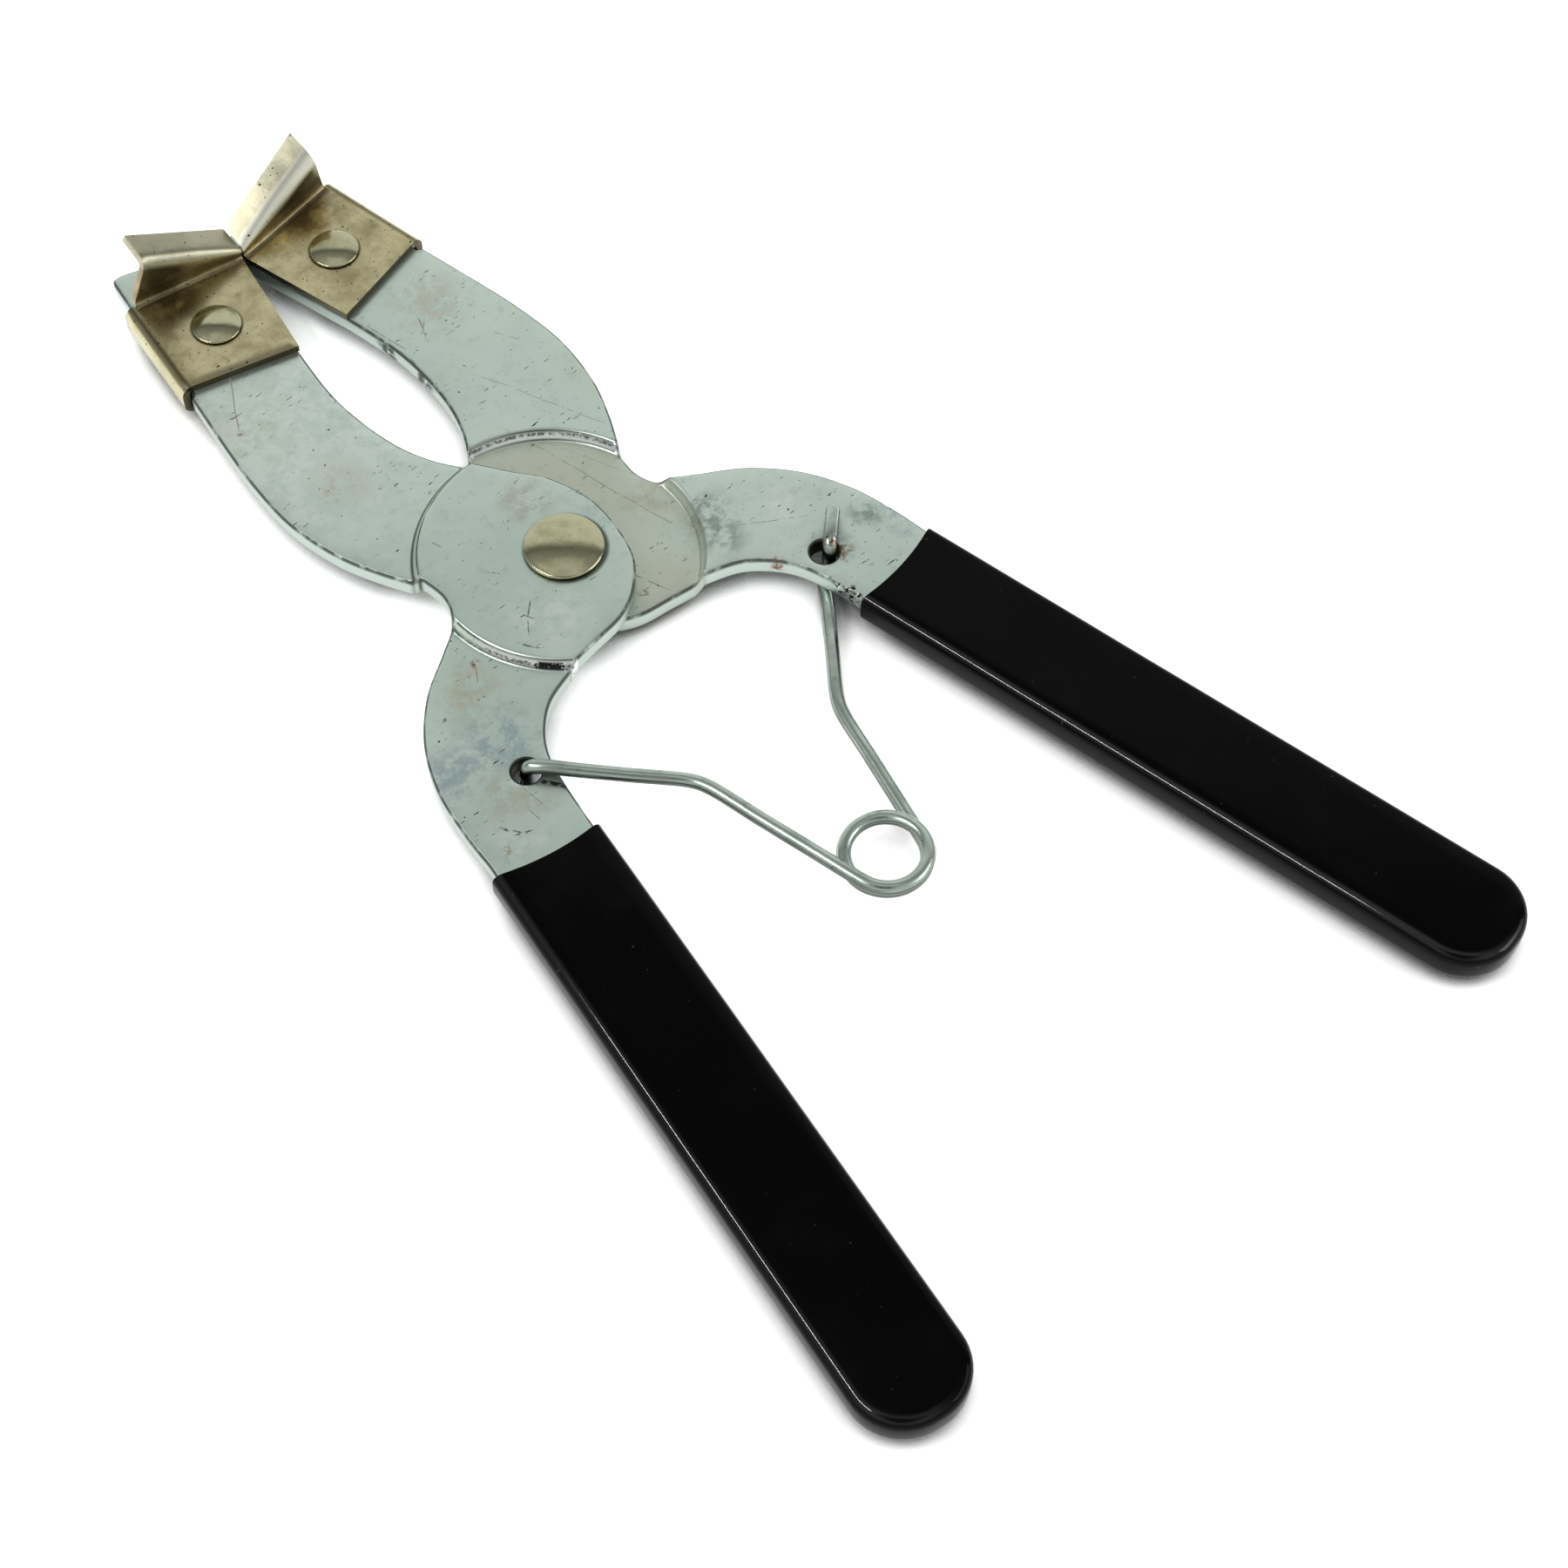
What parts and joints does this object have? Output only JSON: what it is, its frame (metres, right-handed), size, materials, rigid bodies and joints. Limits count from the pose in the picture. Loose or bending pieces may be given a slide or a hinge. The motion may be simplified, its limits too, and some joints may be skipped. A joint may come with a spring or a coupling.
{
  "type": "piston ring expander pliers",
  "caption": "Squeeze-to-open ring expander pliers: lapped steel levers on a rivet, wire return spring, black dipped grips and flared sheet jaw tips.",
  "frame": {"origin": "pivot axis in the flat under-face of the pivot rivet, the tool lying flat with its jaws closed", "axes": "+Y from the pivot to the jaws, +Z along the pivot axis out of the rivet's domed head, +X towards the right-hand jaw seen from the head side"},
  "size_m": [0.1214, 0.2263, 0.0196],
  "materials": {
    "zinc_plate": "worn satin zinc plating, grey-green",
    "nickel_sheet": "dull smudged nickel",
    "bright_rivet": "bright, slightly yellow nickel",
    "spring_wire": "zinc-plated drawn wire",
    "black_vinyl": "glossy dipped vinyl"
  },
  "bodies": {
    "left_half": {"left_lever": "zinc_plate", "pivot_rivet": "bright_rivet", "left_grip": "black_vinyl", "left_jaw_tip": "nickel_sheet", "left_jaw_rivet": "bright_rivet"},
    "right_half": {"right_lever": "zinc_plate", "right_grip": "black_vinyl", "right_jaw_tip": "nickel_sheet", "right_jaw_rivet": "bright_rivet"},
    "spring_left": {"return_spring_left_half": "spring_wire"},
    "spring_right": {"return_spring_right_half": "spring_wire"}
  },
  "joints": [
    {"name": "handle_pivot", "type": "hinge", "parent": "left_half", "child": "right_half", "pos_m": [0, 0, 0.0051], "axis": [0, 0, -1], "range_deg": [0, 23], "stiffness_Nm_per_rad": 0.8, "springref_deg": -22.92},
    {"name": "spring_left_turn", "type": "hinge", "parent": "left_half", "child": "spring_left", "pos_m": [-0.0289, -0.0256, 0.0051], "axis": [0, 0, -1], "range_deg": [0, 18.8]},
    {"name": "spring_ring_turn", "type": "hinge", "parent": "spring_left", "child": "spring_right", "pos_m": [0, -0.0694, 0.0051], "axis": [0, 0, 1], "range_deg": [0, 14.4]}
  ],
  "couplings": [
    {"joint": "spring_left_turn", "follows": "handle_pivot", "ratio": 0.8083},
    {"joint": "spring_ring_turn", "follows": "handle_pivot", "ratio": 0.6166}
  ]
}
